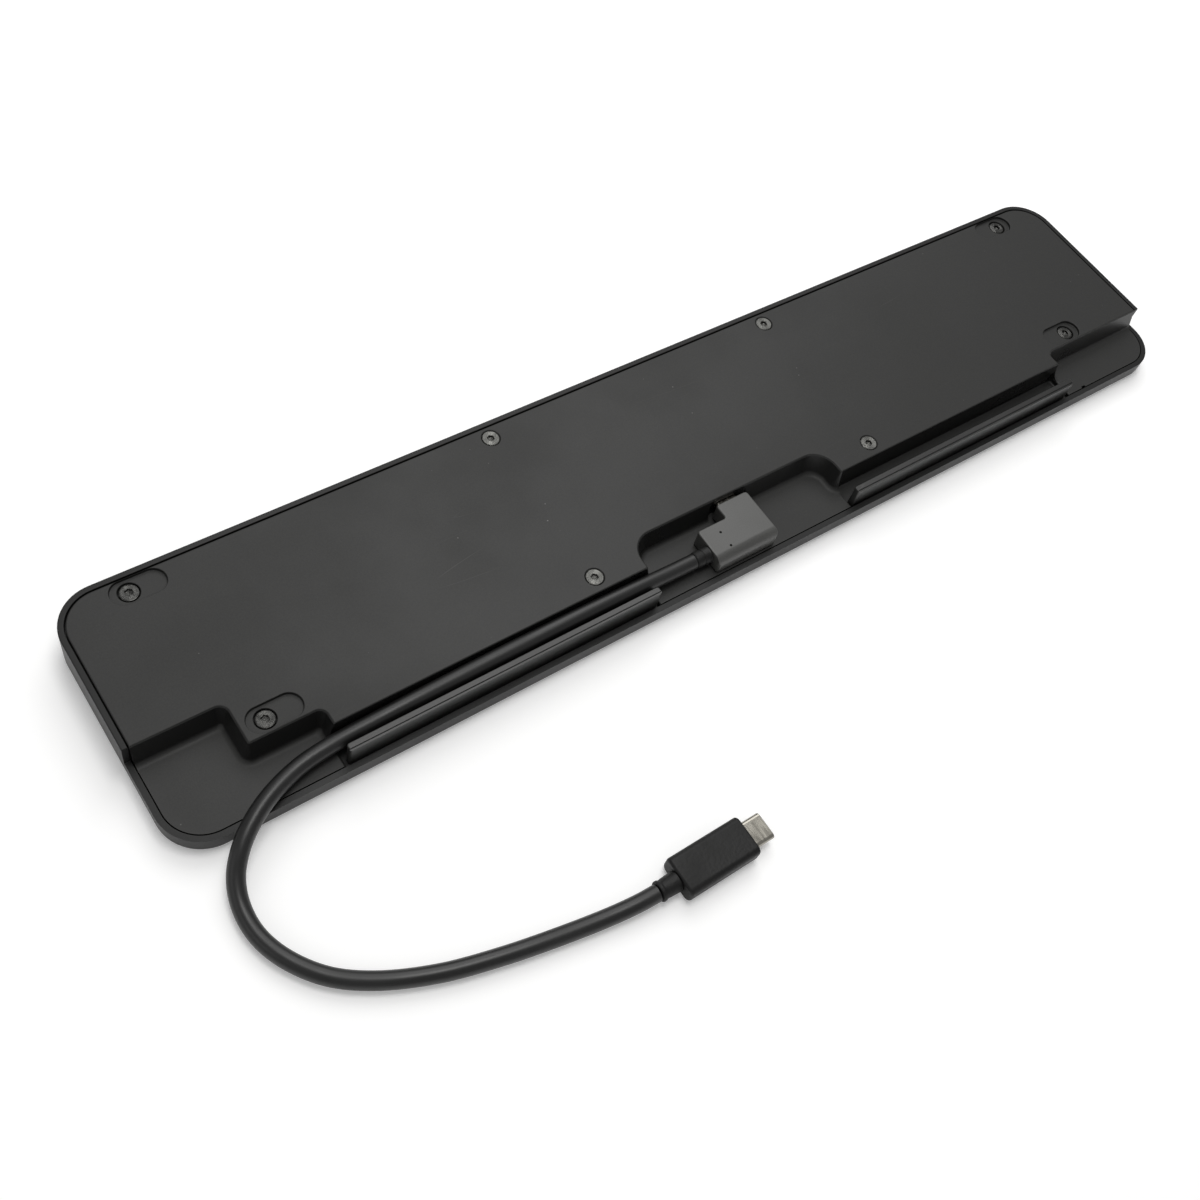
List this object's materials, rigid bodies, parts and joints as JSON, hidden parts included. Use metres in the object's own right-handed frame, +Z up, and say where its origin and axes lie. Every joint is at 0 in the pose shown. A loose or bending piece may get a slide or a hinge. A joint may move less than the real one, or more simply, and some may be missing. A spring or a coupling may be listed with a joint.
{
  "type": "laptop docking station",
  "caption": "Slim bar-shaped laptop docking station lying on its top, with a stepped lip, cable channels, rear ports and a cabled plug in its pocket.",
  "frame": {"origin": "centre of the casing's footprint, on the flat surface that the dock's top face lies on", "axes": "+X along the dock towards the right-hand end, -Y towards the thin front lip with the cable channels, +Z up out of the underside, which faces up"},
  "size_m": [0.38, 0.1523, 0.014],
  "materials": {
    "casing": "fine matt texture, charcoal",
    "shell": "satin black",
    "rail": "satin charcoal, smoother than the cover",
    "black_screw": "black-coated steel",
    "grey_screw": "zinc-grey steel",
    "board": "green solder mask",
    "nickel": "nickel plating",
    "contact": "black insulator",
    "chip": "black moulding compound",
    "can": "satin",
    "pad": "soft grey silicone",
    "plug": "fine matt texture, dark grey",
    "cable": "smooth satin jacket"
  },
  "bodies": {
    "dock": {"top_shell": "shell", "base_cover": "casing", "cable_rail_left": "rail", "cable_rail_right": "rail", "foot_screw_back_left": "black_screw", "foot_screw_front_left": "black_screw", "foot_screw_back_right": "black_screw", "foot_screw_front_right": "black_screw", "flush_screw_back_left": "grey_screw", "flush_screw_front_left": "grey_screw", "flush_screw_back_right": "grey_screw", "flush_screw_front_right": "grey_screw", "main_board": "board", "board_screw_back_left": "grey_screw", "board_screw_front_left": "grey_screw", "board_screw_back_right": "grey_screw", "board_screw_front_right": "grey_screw", "power_port": "nickel", "power_port_tongue": "contact", "video_port_1": "nickel", "video_port_1_tongue": "contact", "video_port_2": "nickel", "video_port_2_tongue": "contact", "network_port": "nickel", "network_port_tongue": "contact", "usb_port_1": "nickel", "usb_port_1_tongue": "contact", "usb_port_2": "nickel", "usb_port_2_tongue": "contact", "usb_port_3": "nickel", "usb_port_3_tongue": "contact", "data_port": "nickel", "data_port_tongue": "contact", "audio_port": "contact", "host_receptacle": "nickel", "host_receptacle_tongue": "contact", "hub_chip": "chip", "video_chip": "chip", "network_chip": "chip", "power_chip": "chip", "power_coil_1": "chip", "power_coil_2": "chip", "capacitor_1": "can", "capacitor_2": "can", "heat_spreader": "can", "thermal_pad": "pad", "cable": "cable", "laptop_plug_relief": "plug", "laptop_plug_body": "plug", "laptop_plug_shell": "nickel", "laptop_plug_carrier": "contact"},
    "host_plug": {"host_plug_body": "plug", "host_plug_shell": "nickel", "host_plug_carrier": "contact", "host_plug_relief": "plug"}
  },
  "joints": [
    {"name": "host_plug_slide", "type": "slide", "parent": "dock", "child": "host_plug", "axis": [0, -1, 0], "range_m": [0, 0.0065]}
  ]
}
